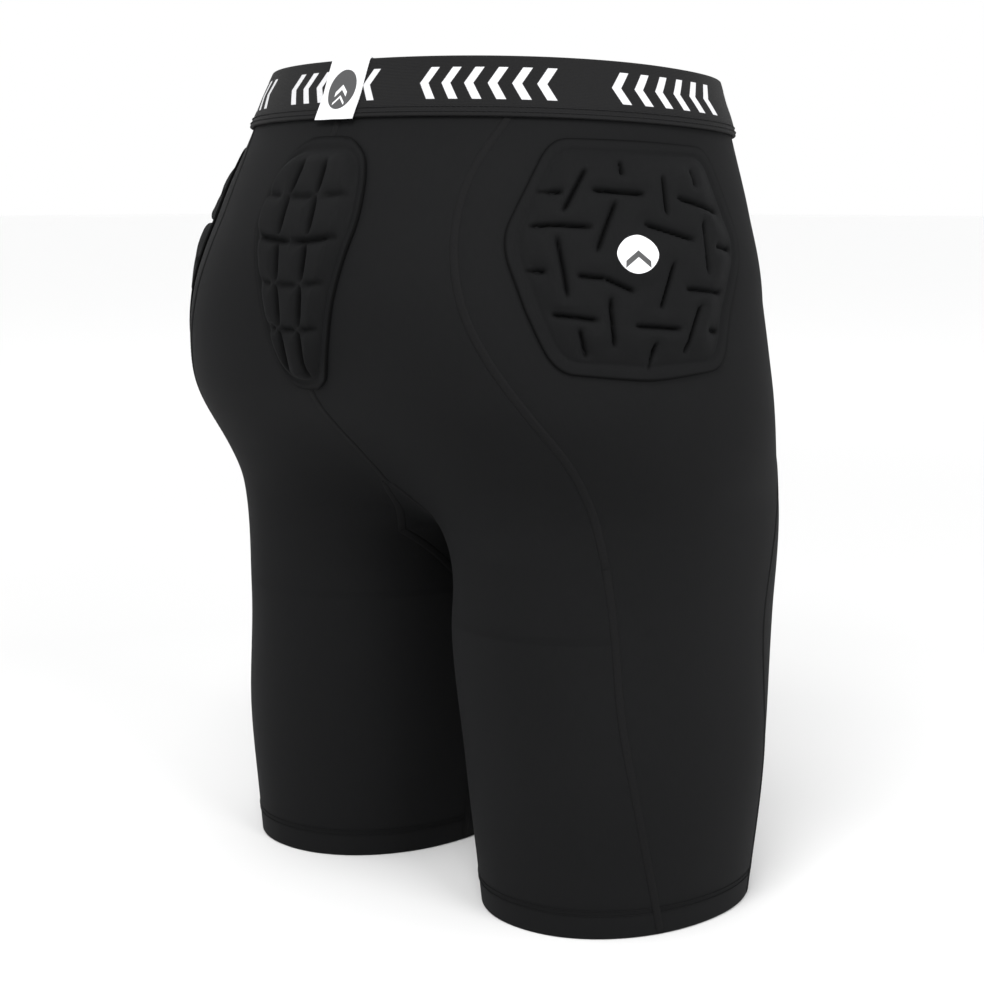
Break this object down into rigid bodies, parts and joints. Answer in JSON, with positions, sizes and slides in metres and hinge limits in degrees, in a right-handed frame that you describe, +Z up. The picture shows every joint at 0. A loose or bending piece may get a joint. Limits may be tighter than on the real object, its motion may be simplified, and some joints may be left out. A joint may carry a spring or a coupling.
{
  "type": "padded impact shorts",
  "caption": "Mid-thigh compression shorts with an elastic waistband and moulded impact pads over each hip and the tailbone.",
  "frame": {"origin": "middle of the footprint, in the plane of the two hems", "axes": "+Z up from the hems to the waist, the wearer faces -Y, +X is the wearer's left"},
  "size_m": [0.3724, 0.2818, 0.4771],
  "materials": {
    "knit": "matte stretch knit, charcoal black",
    "waistband": "woven elastic, melange charcoal",
    "thread": "flatlock and coverstitch thread, black",
    "pad_cover": "matte fabric moulded over foam",
    "foam": "closed-cell foam",
    "lining": "fine mesh lining",
    "label": "white satin ribbon",
    "label_print": "dark woven oval",
    "emblem": "grey transfer"
  },
  "bodies": {
    "root": {"back_panel_left": "knit", "back_panel_right": "knit", "back_side_seam_left": "thread", "back_side_seam_right": "thread", "centre_back_seam": "thread", "crotch_gusset": "knit", "front_panel_left": "knit", "front_panel_right": "knit", "front_pouch": "knit", "front_side_seam_left": "thread", "front_side_seam_right": "thread", "gusset_seam_left": "thread", "gusset_seam_right": "thread", "hem_facing_left": "knit", "hem_facing_right": "knit", "hem_stitching_left": "thread", "hem_stitching_right": "thread", "hip_emblem_left": "emblem", "hip_emblem_right": "emblem", "hip_pad_backing_left": "lining", "hip_pad_backing_right": "lining", "hip_pad_core_left": "foam", "hip_pad_core_right": "foam", "hip_pad_cover_left": "pad_cover", "hip_pad_cover_right": "pad_cover", "inseam_left": "thread", "inseam_right": "thread", "label_print": "label_print", "pouch_lining": "lining", "pouch_seam_left": "thread", "pouch_seam_right": "thread", "side_panel_left": "knit", "side_panel_right": "knit", "tail_pad_backing": "lining", "tail_pad_core": "foam", "tail_pad_cover": "pad_cover", "waistband_elastic": "waistband", "waistband_label": "label", "waistband_stitching": "thread"}
  },
  "joints": []
}
